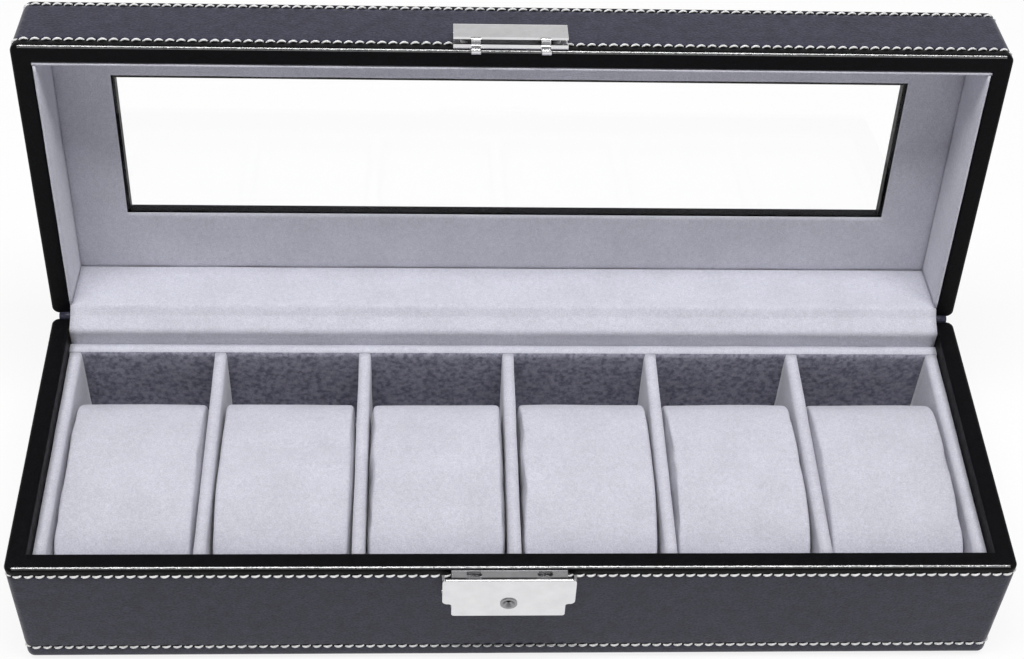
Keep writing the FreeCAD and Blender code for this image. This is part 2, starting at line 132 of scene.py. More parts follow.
# Velvet panels: the card's rounding is a share of its width
PANEL_STEP = 2.5 * MM
PANEL_DIP = 0.22 * MM
PANEL_WAVE = 70
LINER_EDGE = 0.9 * MM
LID_LINER_EDGE = 0.5 * MM
EDGE_SHARE = 0.49
# Back-liner faces that look further forward than this get the darker velvet, painted shade
SHADED_SIDE = -0.7
CARD_MARKS = (24, 60)
CARD_WAVE = 60
CARD_STEPS = 12
CARD_ROUND = 0.04
CARD_CREASE = 1.2 * MM

# Leather wraps: slopes and creases are the upward share of a face's normal
WRAP_STEP = 4.0 * MM
WRAP_LEVEL = 6.0 * MM
WRAP_UNEVEN = 0.06 * MM
WRAP_WAVE = 40
FLAT_ANGLE = math.radians(0.5)
UPRIGHT = 0.3
WALL_SLOPE = 0.5
# Painted shade: the lid's top edge within these slopes and the band this far below each rim get near-black
# leather
TOP_SLOPES = (0.1, 0.6)
RIM_DEPTH = 1.2 * MM
RIM_BAND = 3.2 * MM
LIP_SETBACK = 3.0 * MM
TOP_EDGE = 2.3 * MM
# Slopes of the front crease where the lamp's highlight falls, which get the glossier leather
BASE_CREASE = (0.7, 0.985)
LID_CREASE = (0.45, 0.95)

# Soft hinge
LEATHER = 0.8 * MM
VELVET = 0.8 * MM
FLAP_BEND = 1.8 * MM
SHEET_STEP = 0.55 * MM
SHEET_COLUMNS = 120
BEND_STEPS = 8
BEND_SHARE = 0.45
NO_LENGTH = 1e-9
LEATHER_RIPPLE = 0.12 * MM
LEATHER_REACH = 9.0 * MM
LEATHER_WAVE = 60
LEATHER_SEED = 1.7
FLAP_RIPPLE = 0.10 * MM
FLAP_FOLD_RIPPLE = 0.35 * MM
FLAP_REACH = 7.0 * MM
FLAP_WAVE = 35
FLAP_CROSS_WAVE = 120

# Leaf spring of the latch
SPRING_FOOT = 1.1 * MM
SPRING_LEAF = 3.0 * MM
SPRING_STEP = 0.3 * MM


def node_box(node):
    """A node's lowest and highest corners."""
    low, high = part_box(node)
    return Vector(low), Vector(high)


hinge = next(j for j in frame["record"]["behaviour"]["joints"] if j["name"] == "lid_hinge")
hinge_place = Vector(hinge["pos_m"])
open_angle = math.radians(abs(hinge["range_deg"][0]))
to_open = (Matrix.Translation(hinge_place) @ Matrix.Rotation(-open_angle, 4, "X")
           @ Matrix.Translation(-hinge_place))
to_closed = to_open.inverted()


def points_box(points):
    low = Vector([min(p[k] for p in points) for k in range(3)])
    high = Vector([max(p[k] for p in points) for k in range(3)])
    return low, high


def closed_points(node):
    """A lid node's vertices with the lid shut."""
    return [to_closed @ v.co for v in frame["nodes"][node].data.vertices]


def closed_box(node):
    """A lid node's lowest and highest corners with the lid shut."""
    return points_box(closed_points(node))


half_length, half_depth, base_height = node_box("base_leather_wrap")[1]
lid_low, lid_high = closed_box("lid_leather_wrap")
glass_high = closed_box("window_glass")[1]
base_rows = (base_height - BASE_ROW_BELOW_RIM, BASE_ROW_ABOVE_FLOOR)
lid_rows = (lid_low.z + LID_ROW_ABOVE_RIM, lid_high.z - LID_ROW_BELOW_TOP)


# Materials

def shade(colour, factor):
    return tuple(channel * factor for channel in colour)


def new_material(name, colour, roughness, **values):
    """A plain material: values are the shader's other sockets, with _ for each space in their names."""
    material = bpy.data.materials.new(name)
    material.use_nodes = True
    shader = material.node_tree.nodes["Principled BSDF"]
    shader.inputs["Base Color"].default_value = (*colour, 1.0)
    shader.inputs["Roughness"].default_value = roughness
    for key, value in values.items():
        shader.inputs[key.replace("_", " ")].default_value = value
    return material, shader


def colour_ramp(tree, value, start, end):
    """Turns a value into colour: start and end are each a place on the ramp and its colour."""
    node = tree.nodes.new("ShaderNodeValToRGB")
    for element, (position, colour) in zip(node.color_ramp.elements, (start, end)):
        element.position = position
        element.color = (*colour, 1.0)
    tree.links.new(value, node.inputs["Fac"])
    return node.outputs["Color"]


class Nodes:
    """Short calls for the texture nodes that the materials share."""

    def __init__(self, material, shader):
        self.tree = material.node_tree
        self.shader = shader
        self.place = self.tree.nodes.new("ShaderNodeTexCoord").outputs["Object"]
        self.normal = None

    def link(self, output, socket):
        self.tree.links.new(output, socket)

    def stretched(self, scale):
        mapping = self.tree.nodes.new("ShaderNodeMapping")
        mapping.inputs["Scale"].default_value = scale
        self.link(self.place, mapping.inputs["Vector"])
        return mapping.outputs["Vector"]

    def noise(self, scale, detail=2.0, place=None):
        node = self.tree.nodes.new("ShaderNodeTexNoise")
        node.inputs["Scale"].default_value = scale
        node.inputs["Detail"].default_value = detail
        self.link(place or self.place, node.inputs["Vector"])
        return node.outputs["Fac"]

    def cells(self, scale, smoothness):
        node = self.tree.nodes.new("ShaderNodeTexVoronoi")
        node.feature = "SMOOTH_F1"
        node.inputs["Scale"].default_value = scale
        node.inputs["Smoothness"].default_value = smoothness
        self.link(self.place, node.inputs["Vector"])
        return node.outputs["Distance"]

    def bands(self, scale, distortion):
        node = self.tree.nodes.new("ShaderNodeTexWave")
        node.bands_direction = "DIAGONAL"
        node.inputs["Scale"].default_value = scale
        node.inputs["Distortion"].default_value = distortion
        self.link(self.place, node.inputs["Vector"])
        return node.outputs["Fac"]

    def ramp(self, value, start, end):
        return colour_ramp(self.tree, value, start, end)

    def patches(self, colour, dark, light, scale, detail=2.0):
        """The colour in darker and lighter patches."""
        start = (PATCHES[0], shade(colour, dark))
        end = (PATCHES[1], shade(colour, light))
        return self.ramp(self.noise(scale, detail), start, end)

    def between(self, value, low, high):
        node = self.tree.nodes.new("ShaderNodeMapRange")
        node.inputs["From Min"].default_value = PATCHES[0]
        node.inputs["From Max"].default_value = PATCHES[1]
        node.inputs["To Min"].default_value = low
        node.inputs["To Max"].default_value = high
        self.link(value, node.inputs["Value"])
        return node.outputs["Result"]

    def multiplied(self, first, second):
        node = self.tree.nodes.new("ShaderNodeMix")
        node.data_type = "RGBA"
        node.blend_type = "MULTIPLY"
        node.inputs["Factor"].default_value = 1.0
        self.link(first, node.inputs["A"])
        self.link(second, node.inputs["B"])
        return node.outputs["Result"]

    def bump(self, height, depth, strength):
        """Adds a layer of relief to the ones before it."""
        node = self.tree.nodes.new("ShaderNodeBump")
        node.inputs["Strength"].default_value = strength
        node.inputs["Distance"].default_value = depth
        self.link(height, node.inputs["Height"])
        if self.normal:
            self.link(self.normal, node.inputs["Normal"])
        self.normal = node.outputs["Normal"]
        self.link(self.normal, self.shader.inputs["Normal"])


def leather_material(name, colour, roughness, gloss, ior=1.5):
    material, shader = new_material(name, colour, roughness, IOR=ior, Specular_IOR_Level=gloss)
    nodes = Nodes(material, shader)
    tone = nodes.patches(colour, dark=0.82, light=1.22, scale=260.0, detail=4.0)
    pores = nodes.noise(scale=1500.0, detail=3.0)
    grain = nodes.ramp(pores, start=(0.36, shade(WHITE, 0.5)), end=(0.64, WHITE))
    nodes.link(nodes.multiplied(tone, grain), shader.inputs["Base Color"])
    wear = nodes.between(nodes.noise(scale=420.0, detail=3.0), low=0.85 * roughness, high=1.15 * roughness)
    nodes.link(wear, shader.inputs["Roughness"])
    nodes.bump(nodes.cells(scale=1250.0, smoothness=0.5), depth=0.10 * MM, strength=0.6)
    nodes.bump(nodes.noise(scale=3600.0, detail=3.0), depth=0.05 * MM, strength=0.5)
    return material


def velvet_material(name, colour, rubbed):
    """Short pile over which a hand has gone: rubbed is how dark the brush marks are."""
    material, shader = new_material(name, colour, roughness=0.92, Sheen_Weight=0.3, Sheen_Roughness=0.4,
                                    Specular_IOR_Level=0.15)
    nodes = Nodes(material, shader)
    nap = nodes.patches(colour, dark=0.95, light=1.04, scale=75.0, detail=4.0)
    dark = (1 - rubbed, 1 - rubbed, 1 - 0.9 * rubbed)
    brushed = nodes.ramp(nodes.noise(scale=640.0, detail=5.0), start=(0.34, dark), end=(0.62, WHITE))
    fibres = nodes.noise(scale=2300.0)
    pile = nodes.ramp(fibres, start=(0.25, (0.76, 0.76, 0.78)), end=(0.7, WHITE))
    worn = nodes.multiplied(nap, brushed)
    nodes.link(nodes.multiplied(worn, pile), shader.inputs["Base Color"])
    nodes.bump(fibres, depth=0.22 * MM, strength=0.7)
    nodes.bump(nodes.noise(scale=420.0, detail=4.0), depth=0.20 * MM, strength=0.35)
    return material


def thread_material():
    colour = (0.95, 0.95, 0.95)
    material, shader = new_material("white_thread", colour, roughness=0.65, Sheen_Weight=0.2)
    nodes = Nodes(material, shader)
    tone = nodes.patches(colour, dark=0.85, light=1.0, scale=900.0)
    nodes.link(tone, shader.inputs["Base Color"])
    nodes.bump(nodes.bands(scale=1500.0, distortion=0.6), depth=0.12 * MM, strength=0.8)
    return material


def metal_material(name, colour, low, high):
    """Plated or bare metal with fine hairlines: low and high bound its roughness."""
    material, shader = new_material(name, colour, roughness=low, Metallic=1.0)
    nodes = Nodes(material, shader)
    tone = nodes.patches(colour, dark=0.92, light=1.0, scale=180.0, detail=3.0)
    nodes.link(tone, shader.inputs["Base Color"])
    wear = nodes.between(nodes.noise(scale=500.0, detail=4.0), low, high)
    nodes.link(wear, shader.inputs["Roughness"])
    hairlines = nodes.noise(scale=1.0, place=nodes.stretched((150.0, 4000.0, 4000.0)))
    nodes.bump(hairlines, depth=0.01 * MM, strength=0.25)
    return material


def glass_material():
    material, shader = new_material("clear_glass", WHITE, roughness=0.0, Transmission_Weight=1.0, IOR=1.25)
    nodes = Nodes(material, shader)
    smears = nodes.between(nodes.noise(scale=60.0), low=0.0, high=0.02)
    nodes.link(smears, shader.inputs["Roughness"])
    return material


def raw_material(name, colour, scale, depth):
    """Plain fibrous stuff: board, card and felt."""
    material, shader = new_material(name, colour, roughness=0.9)
    nodes = Nodes(material, shader)
    tone = nodes.patches(colour, dark=0.75, light=1.2, scale=scale, detail=5.0)
    nodes.link(tone, shader.inputs["Base Color"])
    nodes.bump(nodes.noise(3 * scale, detail=3.0), depth, strength=0.6)
    return material


leather = leather_material("black_leathercloth", (0.040, 0.040, 0.066), 0.36, 0.2)
# Near-black, low-gloss copy of the leather: painted shade on the rims, in the stitch grooves, below the
# rims, on the lid's top edge and inside
shade_leather = leather_material("shade_leathercloth", (0.003, 0.003, 0.004), 0.45, 0.07)
# Darker, glossier copy of the leather for the crease band where the lamp's highlight falls, which
# strengthens that highlight line
highlight_leather = leather_material("highlight_leathercloth", (0.02, 0.02, 0.024), 0.28, 1.0, 1.8)
velvet = velvet_material("grey_velvet", (0.62, 0.62, 0.69), 0.07)
# Darker copy of the velvet: painted shade for the back liner's forward faces
shaded_velvet = velvet_material("painted_shade_velvet", (0.36, 0.36, 0.43), 0.55)
thread = thread_material()
nickel = metal_material("polished_nickel", (0.77, 0.765, 0.78), 0.14, 0.24)
steel = metal_material("spring_steel", (0.62, 0.62, 0.62), 0.3, 0.42)
# Steel much darker than the nickel, used for the latch's rivet head
dark_steel = metal_material("dark_rivet_steel", (0.34, 0.34, 0.35), 0.3, 0.45)
felt = raw_material("black_felt", (0.02, 0.02, 0.022), 900.0, 0.2 * MM)
dyed_board = raw_material("dyed_board", (0.012, 0.012, 0.012), 700.0, 0.1 * MM)
finishes = {
    "black_leather": leather,
    "grey_velvet": velvet,
    "pillow_velvet": velvet,
    "latch_metal": nickel,
    "spring_steel": steel,
    "glass": glass_material(),
    "fibreboard": raw_material("fibreboard", (0.36, 0.25, 0.16), 700.0, 0.1 * MM),
    "packing_card": raw_material("grey_card", (0.42, 0.41, 0.39), 500.0, 0.08 * MM),
}
wrap_leathers = (leather, shade_leather, highlight_leather)
panel_velvets = (velvet, shaded_velvet)
special = {"base_bottom_sheet": felt, "lid_top_panel": dyed_board, "lock_spring_rivet": dark_steel}


def dress_cad_nodes():
    for part in frame["record"]["subparts"]:
        node = part["node"]
        surfaces = frame["nodes"][node].data.materials
        surfaces.clear()
        surfaces.append(special.get(node, finishes[part["material_slot"]]))


# Meshes

def new_piece(name, mesh_builder, *materials):
    mesh = bpy.data.meshes.new(name)
    for material in materials:
        mesh.materials.append(material)
    mesh_builder.normal_update()
    mesh_builder.to_mesh(mesh)
    mesh_builder.free()
    obj = bpy.data.objects.new(name, mesh)
    bpy.context.scene.collection.objects.link(obj)
    mesh.shade_smooth()
    return obj


def grid_faces(builder, rows, closed_rows=False, closed_columns=False):
    """Joins rows of vertices with quads."""
    count = len(rows)
    width = len(rows[0])
    for i in range(count if closed_rows else count - 1):
        for j in range(width if closed_columns else width - 1):
            a = rows[i]
            b = rows[(i + 1) % count]
            k = (j + 1) % width
            builder.faces.new((a[j], a[k], b[k], b[j]))


# Pillows

def arc_points(centre, radius, start, end, step):
    count = max(2, round(abs(end - start) * radius / step))
    angles = [start + (end - start) * i / count for i in range(count)]
    return [(centre[0] + radius * math.cos(a), centre[1] + radius * math.sin(a)) for a in angles]


def line_points(start, end, step):
    count = max(1, round(math.dist(start, end) / step))
    return [(start[0] + (end[0] - start[0]) * i / count, start[1] + (end[1] - start[1]) * i / count)
            for i in range(count)]


def pillow_outline(length, height):
    """Points round a pillow's side view, anticlockwise from the front of its underside."""
    half = length / 2
    crown_z = height - PILLOW_CROWN
    end_y = half - PILLOW_END
    end_z = crown_z + math.sqrt((PILLOW_CROWN - PILLOW_END) ** 2 - end_y ** 2)
    lean = math.atan2(end_z - crown_z, end_y)
    foot_y = half - PILLOW_FOOT
    quarter = math.pi / 2
    return (line_points((-foot_y, 0), (foot_y, 0), PILLOW_STEP)
            + arc_points((foot_y, PILLOW_FOOT), PILLOW_FOOT, -quarter, 0, PILLOW_STEP)
            + line_points((half, PILLOW_FOOT), (half, end_z), PILLOW_STEP)
            + arc_points((end_y, end_z), PILLOW_END, 0, lean, PILLOW_STEP)
            + arc_points((0, crown_z), PILLOW_CROWN, lean, math.pi - lean, PILLOW_STEP)
            + arc_points((-end_y, end_z), PILLOW_END, math.pi - lean, math.pi, PILLOW_STEP)
            + line_points((-half, end_z), (-half, PILLOW_FOOT), PILLOW_STEP)
            + arc_points((-foot_y, PILLOW_FOOT), PILLOW_FOOT, math.pi, 1.5 * math.pi, PILLOW_STEP))


def inset_outline(outline, inset):
    """The outline moved inwards along its own normals."""
    moved = []
    count = len(outline)
    for i, (y, z) in enumerate(outline):
        before = outline[i - 1]
        after = outline[(i + 1) % count]
        run = Vector((after[0] - before[0], after[1] - before[1])).normalized()
        moved.append((y - run.y * inset, z + run.x * inset))
    return moved


def pillow_mesh(low, high, seed):
    """A pillow before it is filled: its side view carried along X, with rounded edges and puffed ends."""
    size = high - low
    middle = (low + high) / 2
    outline = inset_outline(pillow_outline(size.y, size.z), PILLOW_SWELL)
    half = size.x / 2 - PILLOW_SWELL
    straight = half - PILLOW_EDGE
    columns = [(straight * (2 * i / PILLOW_COLUMNS - 1), 0.0) for i in range(PILLOW_COLUMNS + 1)]
    for angle in range(ROUND_STEP, 91, ROUND_STEP):
        turn = math.radians(angle)
        reach = straight + PILLOW_EDGE * math.sin(turn)
        inset = PILLOW_EDGE * (1 - math.cos(turn))
        columns.append((reach, inset))
        columns.insert(0, (-reach, inset))
    builder = bmesh.new()
    rows = []
    for x, inset in columns:
        row = []
        for y, z in inset_outline(outline, inset):
            point = Vector((middle.x + x, middle.y + y, low.z + z))
            uneven = noise.noise_vector(point * PILLOW_WAVE + Vector((seed, 0, 0)))
            row.append(builder.verts.new(point + uneven * PILLOW_UNEVEN))
        rows.append(row)
    grid_faces(builder, rows, closed_columns=True)
    for side, row in ((-1, rows[0]), (1, rows[-1])):
        rings = [row]
        heart = sum((v.co for v in row), Vector()) / len(row)
        for share in PILLOW_RINGS:
            puff = Vector((side * PILLOW_PUFF * (1 - share), 0, 0))
            rings.append([builder.verts.new(heart + (v.co - heart) * share + puff) for v in row])
        grid_faces(builder, rings, closed_columns=True)
        builder.faces.new(rings[-1])
    bmesh.ops.recalc_face_normals(builder, faces=builder.faces)
    return builder


def swell(obj, low):
    """Fills a pillow with cloth simulation under pressure, without moving any point far."""
    start = [v.co.copy() for v in obj.data.vertices]
    cloth = obj.modifiers.new("fill", "CLOTH")
    cloth.settings.quality = CLOTH_QUALITY
    cloth.settings.mass = CLOTH_MASS
    cloth.settings.tension_stiffness = CLOTH_STIFFNESS
    cloth.settings.compression_stiffness = CLOTH_STIFFNESS
    cloth.settings.bending_stiffness = CLOTH_BENDING
    cloth.settings.use_pressure = True
    cloth.settings.uniform_pressure_force = CLOTH_PRESSURE
    cloth.settings.effector_weights.gravity = 0
    scene = bpy.context.scene
    for number in range(1, CLOTH_FRAMES + 1):
        scene.frame_set(number)
    view = bpy.context.evaluated_depsgraph_get()
    filled = [v.co.copy() for v in obj.evaluated_get(view).data.vertices]
    obj.modifiers.remove(cloth)
    scene.frame_set(1)
    for vertex, old, new in zip(obj.data.vertices, start, filled):
        move = new - old
        if move.length > PILLOW_CAP:
            move = move.normalized() * PILLOW_CAP
        vertex.co = old + move
        vertex.co.z = max(vertex.co.z, low.z)


def make_pillow(number):
    node = "watch_pillow_%d" % number
    low, high = node_box(node)
    builder = pillow_mesh(low, high, seed=number * 7.0)
    obj = new_piece("pillow_%d_cushion" % number, builder, velvet)
    swell(obj, low)
    smooth = obj.modifiers.new("smooth", "SUBSURF")
    smooth.levels = 1
    smooth.render_levels = 1
    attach(obj, "pillow_%d" % number)
    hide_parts(node)


# Velvet panels and the leather wraps

def box_shell(builder, low, high, step):
    """A closed box of fine quads."""
    counts = [max(2, round((high[k] - low[k]) / step)) for k in range(3)]
    made = {}

    def corner(index):
        if index not in made:
            place = [low[k] + (high[k] - low[k]) * index[k] / counts[k] for k in range(3)]
            made[index] = builder.verts.new(place)
        return made[index]

    for axis in range(3):
        a, b = [k for k in range(3) if k != axis]
        for end in (0, counts[axis]):
            for i in range(counts[a]):
                for j in range(counts[b]):
                    ring = []
                    for di, dj in ((0, 0), (1, 0), (1, 1), (0, 1)):
                        index = [0, 0, 0]
                        index[axis] = end
                        index[a] = i + di
                        index[b] = j + dj
                        ring.append(corner(tuple(index)))
                    builder.faces.new(ring)
    bmesh.ops.recalc_face_normals(builder, faces=builder.faces)


def padded_panel(low, high, radius, seed):
    """Velvet over thin padding on a card: long edges rounded, ends square, faces a little uneven."""
    builder = bmesh.new()
    box_shell(builder, low, high, PANEL_STEP)
    size = high - low
    longest = max(range(3), key=lambda k: size[k])
    inset = Vector([0.0 if k == longest else min(radius, EDGE_SHARE * size[k]) for k in range(3)])
    for vertex in builder.verts:
        core = Vector([min(max(vertex.co[k], low[k] + inset[k]), high[k] - inset[k]) for k in range(3)])
        away = vertex.co - core
        if away.length > 0:
            away.normalize()
            wave = 0.5 + 0.5 * noise.noise(vertex.co * PANEL_WAVE + Vector((seed, 0, 0)))
            vertex.co = core + away * (max(inset) - PANEL_DIP * wave)
    return builder


def make_panel(node, body, radius, seed, in_lid=False):
    low, high = closed_box(node) if in_lid else node_box(node)
    builder = padded_panel(low, high, radius, seed)
    # Painted shade: the back liner's forward faces take the darker velvet
    if node == "base_back_liner":
        builder.normal_update()
        for face in builder.faces:
            if face.normal.y < SHADED_SIDE:
                face.material_index = panel_velvets.index(shaded_velvet)
    if in_lid:
        bmesh.ops.transform(builder, matrix=to_open, verts=builder.verts)
    obj = new_piece(node + "_velvet", builder, *panel_velvets)
    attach(obj, body)
    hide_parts(node)


def spot_in(low, high, u, v):
    """The place in a level rectangle at shares u and v of its sides."""
    return Vector((low.x + (high.x - low.x) * u, low.y + (high.y - low.y) * v, 0))


def rectangle_marks(short_count, long_count):
    """Points round the unit square, anticlockwise, without repeating the first."""
    marks = [(i / long_count, 0.0) for i in range(long_count)]
    marks += [(1.0, i / short_count) for i in range(short_count)]
    marks += [(1.0 - i / long_count, 1.0) for i in range(long_count)]
    marks += [(0.0, 1.0 - i / short_count) for i in range(short_count)]
    return marks


def card_hole(node):
    """The corners of the window cut in the card, read from its inner vertices."""
    low, high = closed_box(node)
    inside = [p for p in closed_points(node)
              if low.x + MM < p.x < high.x - MM and low.y + MM < p.y < high.y - MM]
    return points_box(inside)


def make_window_card():
    """Velvet-covered card frame round the window, rounded at its inner edge and creased at its outer one."""
    node = "window_liner"
    low, high = closed_box(node)
    hole_low, hole_high = card_hole(node)
    half = (high.z - low.z) / 2
    shares = [i / CARD_STEPS for i in range(CARD_STEPS)]
    section = []
    for angle in range(0, 91, ROUND_STEP):
        turn = math.radians(angle)
        section.append((shares[1] * (1 - math.cos(turn)), CARD_CREASE * (1 - math.sin(turn)) - half))
    section += [(share, -half) for share in shares[2:]]
    for angle in range(0, 181, ROUND_STEP):
        turn = math.radians(angle)
        section.append((1 - CARD_ROUND * (1 - math.sin(turn)), -half * math.cos(turn)))
    section += [(share, half) for share in reversed(shares)]
    builder = bmesh.new()
    rows = []
    for u, v in rectangle_marks(*CARD_MARKS):
        outer = spot_in(low, high, u, v)
        inner = spot_in(hole_low, hole_high, u, v)
        row = []
        for share, rise in section:
            place = outer.lerp(inner, share)
            place.z = (low.z + high.z) / 2 + rise
            if rise < 0:
                place.z += PANEL_DIP * noise.noise(place * CARD_WAVE)
            row.append(builder.verts.new(place))
        rows.append(row)
    grid_faces(builder, rows, closed_rows=True, closed_columns=True)
    bmesh.ops.recalc_face_normals(builder, faces=builder.faces)
    bmesh.ops.transform(builder, matrix=to_open, verts=builder.verts)
    obj = new_piece("window_card_velvet", builder, velvet)
    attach(obj, "lid")
    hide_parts(node)


def cut_by_planes(builder, axis, places):
    """Cuts a mesh across one axis at each place."""
    across = Vector([1.0 if k == axis else 0.0 for k in range(3)])
    for place in places:
        everything = builder.verts[:] + builder.edges[:] + builder.faces[:]
        bmesh.ops.bisect_plane(builder, geom=everything, plane_co=across * place, plane_no=across,
                               dist=SAME_PLACE)


def spaced(low, high, step):
    """Places between low and high, about a step apart."""
    count = round((high - low) / step)
    return [low + (high - low) * i / count for i in range(1, count)]


def draw_in_wrap(builder, rows):
    """Draws the walls of a wrap in along each stitched row, and leaves them not quite flat between."""
    builder.normal_update()
    for vertex in builder.verts:
        out = vertex.normal
        outermost = abs(vertex.co.x) > half_length - MM or abs(vertex.co.y) > half_depth - MM
        if outermost and abs(out.z) < WALL_SLOPE:
            groove = max(math.exp(-((vertex.co.z - row) / GROOVE_WIDTH) ** 2) for row in rows)
            wave = WRAP_UNEVEN * (noise.noise(vertex.co * WRAP_WAVE) - 0.5)
            vertex.co += out * (wave - GROOVE_DEPTH * groove)
    builder.normal_update()


def choose_leathers(builder, low, high, rows, in_lid):
    """Painted shade: near-black leather in the grooves, on the rims and the band below them, on the lid's
    top edge and inside. Glossier leather on the front crease, where the lamp's highlight falls.
    """
    rim_z = low.z if in_lid else high.z
    crease = LID_CREASE if in_lid else BASE_CREASE
    for face in builder.faces:
        middle = face.calc_center_median()
        slope = abs(face.normal.z)
        from_rim = abs(middle.z - rim_z)
        from_row = min(abs(middle.z - row) for row in rows)
        at_front = middle.y < LIP_SETBACK - half_depth and abs(middle.x) < half_length - CORNER_RADIUS
        # The crease band where the lamp's highlight falls
        rubbed = at_front and from_rim < RIM_DEPTH and crease[0] < slope < crease[1]
        within = abs(middle.x) < half_length - LIP_SETBACK and abs(middle.y) < half_depth - LIP_SETBACK
        on_top = in_lid and face.normal.z > UPRIGHT and middle.z > high.z - RIM_DEPTH
        in_groove = slope < UPRIGHT and from_row < GROOVE_SHADE
        at_top_edge = in_lid and middle.z > high.z - TOP_EDGE and TOP_SLOPES[0] < slope < TOP_SLOPES[1]
        # Glossier leather where the lamp's highlight falls; painted shade, in near-black leather, in the
        # grooves, on the lid's top edge, below the rim and inside
        if rubbed:
            face.material_index = wrap_leathers.index(highlight_leather)
        elif in_groove or at_top_edge or from_rim < RIM_BAND or (within and not on_top):
            face.material_index = wrap_leathers.index(shade_leather)


def make_leather_wrap(node, body, rows, in_lid=False):
    """The leather wrap as soft sheet, cut finely enough to follow its stitched rows."""
    builder = bmesh.new()
    builder.from_mesh(frame["nodes"][node].data)
    if in_lid:
        bmesh.ops.transform(builder, matrix=to_closed, verts=builder.verts)
    bmesh.ops.remove_doubles(builder, verts=builder.verts, dist=SAME_PLACE)
    bmesh.ops.dissolve_limit(builder, angle_limit=FLAT_ANGLE, verts=builder.verts, edges=builder.edges)
    low, high = closed_box(node) if in_lid else node_box(node)
    cut_by_planes(builder, 0, spaced(low.x, high.x, WRAP_STEP))
    cut_by_planes(builder, 1, spaced(low.y, high.y, WRAP_STEP))
    levels = spaced(low.z, high.z, WRAP_LEVEL)
    for row in rows:
        levels += [row + GROOVE_WIDTH * share for share in GROOVE_CUTS]
    cut_by_planes(builder, 2, sorted(levels))
    draw_in_wrap(builder, rows)
    choose_leathers(builder, low, high, rows, in_lid)
    if in_lid:
        bmesh.ops.transform(builder, matrix=to_open, verts=builder.verts)
    obj = new_piece(node.replace("_wrap", "") + "cloth", builder, *wrap_leathers)
    obj.data.set_sharp_from_angle(angle=SHARP_ANGLE)
    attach(obj, body)
    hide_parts(node)


def make_panels():
    for number, side in enumerate(("front", "back", "left", "right")):
        make_panel("base_%s_liner" % side, "base", LINER_EDGE, seed=number * 3.0)
    for number in range(1, 6):
        make_panel("divider_%d" % number, "base", LINER_EDGE, seed=number * 5.0)
    make_panel("base_floor_pad", "base", LID_LINER_EDGE, seed=1.0)
    for number, side in enumerate(("front", "left", "right")):
        make_panel("lid_%s_liner" % side, "lid", LID_LINER_EDGE, seed=number * 11.0, in_lid=True)
    make_window_card()
    make_leather_wrap("base_leather_wrap", "base", base_rows)
    make_leather_wrap("lid_leather_wrap", "lid", lid_rows, in_lid=True)


# Soft hinge

def bent_path(points, radius, step):
    """Evenly sampled line through points in the YZ plane, with each corner rounded."""
    corners = [Vector(p) for p in points]
    track = [corners[0]]
    for before, corner, after in zip(corners, corners[1:], corners[2:]):
        into = (corner - before).normalized()
        out = (after - corner).normalized()
        turn = into.angle(out)
        shorter = min((corner - before).length, (after - corner).length)
        trim = min(radius * math.tan(turn / 2), BEND_SHARE * shorter)
        first = corner - into * trim
        last = corner + out * trim
        for i in range(BEND_STEPS + 1):
            share = i / BEND_STEPS
            track.append(first.lerp(corner, share).lerp(corner.lerp(last, share), share))
    track.append(corners[-1])
    lengths = [0.0]
    for a, b in zip(track, track[1:]):
        lengths.append(lengths[-1] + (b - a).length)
    count = round(lengths[-1] / step)
    path = []
    k = 0
    for i in range(count + 1):
        goal = lengths[-1] * i / count
        while k < len(track) - 2 and lengths[k + 1] < goal:
            k += 1
        span = max(lengths[k + 1] - lengths[k], NO_LENGTH)
        path.append(track[k].lerp(track[k + 1], (goal - lengths[k]) / span))
    return path


def path_normals(path):
    """The direction square to the path, to its left, at each of its points."""
    normals = []
    for i in range(len(path)):
        run = path[min(i + 1, len(path) - 1)] - path[max(i - 1, 0)]
        normals.append(Vector((-run.y, run.x)).normalized())
    return normals


def hinge_sheet(name, points, radius, thickness, half_width, material, ripple):
    """A sheet that follows a path in the YZ plane over a width, with a gentle ripple off it."""
    path = bent_path(points, radius, SHEET_STEP)
    normals = path_normals(path)
    builder = bmesh.new()
    for side in (0.5, -0.5):
        rows = []
        for i in range(SHEET_COLUMNS + 1):
            x = half_width * (2 * i / SHEET_COLUMNS - 1)
            row = []
            for place, normal in zip(path, normals):
                lift = side * thickness + ripple(x, place)
                spot = place + normal * lift
                row.append(builder.verts.new((x, spot.x, spot.y)))
            rows.append(row)
        grid_faces(builder, rows)
    bmesh.ops.recalc_face_normals(builder, faces=builder.faces)
    edges = [e for e in builder.edges if e.is_boundary]
    bmesh.ops.bridge_loops(builder, edges=edges)
    bmesh.ops.recalc_face_normals(builder, faces=builder.faces)
    return new_piece(name, builder, material)


def opened_point(y, z):
    place = to_open @ Vector((0, y, z))
    return place.y, place.z


def blend_over_hinge(obj):
    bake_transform(obj)


def make_hinge_leather():
    middle = half_depth - LEATHER / 2
    bend = hinge_place.y - middle
    tangent = bend * math.tan(open_angle / 2)
    low, high = node_box("hinge_leather")
    lid_end = closed_box("hinge_leather")[1].z
    points = [(middle, low.z), (middle, hinge_place.z + tangent), opened_point(middle, lid_end)]

    def ripple(x, place):
        near = math.exp(-((place - hinge_place.yz).length / LEATHER_REACH) ** 2)
        return LEATHER_RIPPLE * near * noise.noise(Vector((x * LEATHER_WAVE, LEATHER_SEED, 0.0)))

    obj = hinge_sheet("hinge_back_leather", points, bend, LEATHER, high.x, leather, ripple)
    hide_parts("hinge_leather")
    blend_over_hinge(obj)


